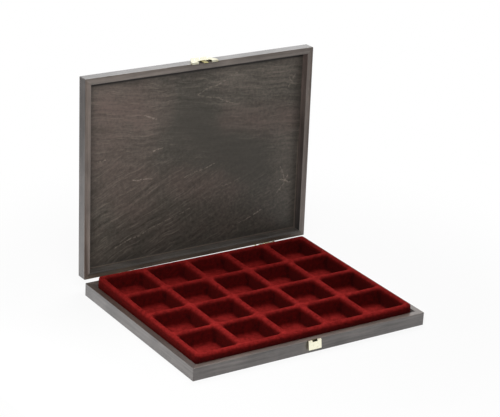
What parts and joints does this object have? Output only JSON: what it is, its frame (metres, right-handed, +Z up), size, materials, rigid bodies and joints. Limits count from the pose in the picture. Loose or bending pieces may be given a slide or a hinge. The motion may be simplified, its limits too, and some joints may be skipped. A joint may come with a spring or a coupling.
{
  "type": "coin box",
  "caption": "Flat hinged case of dark veneered wood with a loose red flocked tray of square coin pockets, brass hinges and a brass snap catch on the front.",
  "frame": {"origin": "centre of the underside of the base, on the surface it stands on", "axes": "+X to the right along the front, +Y to the back where the hinges are, +Z up"},
  "size_m": [0.33, 0.2891, 0.2817],
  "materials": {
    "case_veneer": "satin lacquered veneer",
    "panel_veneer": "satin lacquered figured veneer",
    "red_flock": "short flock on a moulded sheet",
    "catch_brass": "polished",
    "pin_brass": "drawn",
    "nail_brass": "domed heads"
  },
  "bodies": {
    "base": {"base_front_rail": "case_veneer", "base_back_rail": "case_veneer", "base_left_rail": "case_veneer", "base_right_rail": "case_veneer", "base_panel": "panel_veneer", "hinge_leaf_base_left": "catch_brass", "hinge_leaf_base_right": "catch_brass", "hinge_pin_left": "pin_brass", "hinge_pin_right": "pin_brass", "hinge_nails_base": "nail_brass", "catch_box": "catch_brass", "catch_nails": "nail_brass"},
    "lid": {"lid_front_rail": "case_veneer", "lid_back_rail": "case_veneer", "lid_left_rail": "case_veneer", "lid_right_rail": "case_veneer", "lid_panel": "panel_veneer", "hinge_leaf_lid_left": "catch_brass", "hinge_leaf_lid_right": "catch_brass", "hinge_nails_lid": "nail_brass", "clasp_plate": "catch_brass", "clasp_tongue": "catch_brass", "clasp_nails": "nail_brass"},
    "tray": {"coin_tray": "red_flock"}
  },
  "joints": [
    {"name": "lid_hinge", "type": "hinge", "parent": "base", "child": "lid", "pos_m": [0, 0.1322, 0.01665], "axis": [-1, 0, 0], "range_deg": [-91.6, 0]},
    {"name": "tray_lift", "type": "slide", "parent": "base", "child": "tray", "axis": [0, 0, 1], "range_m": [0, 0.003]}
  ]
}
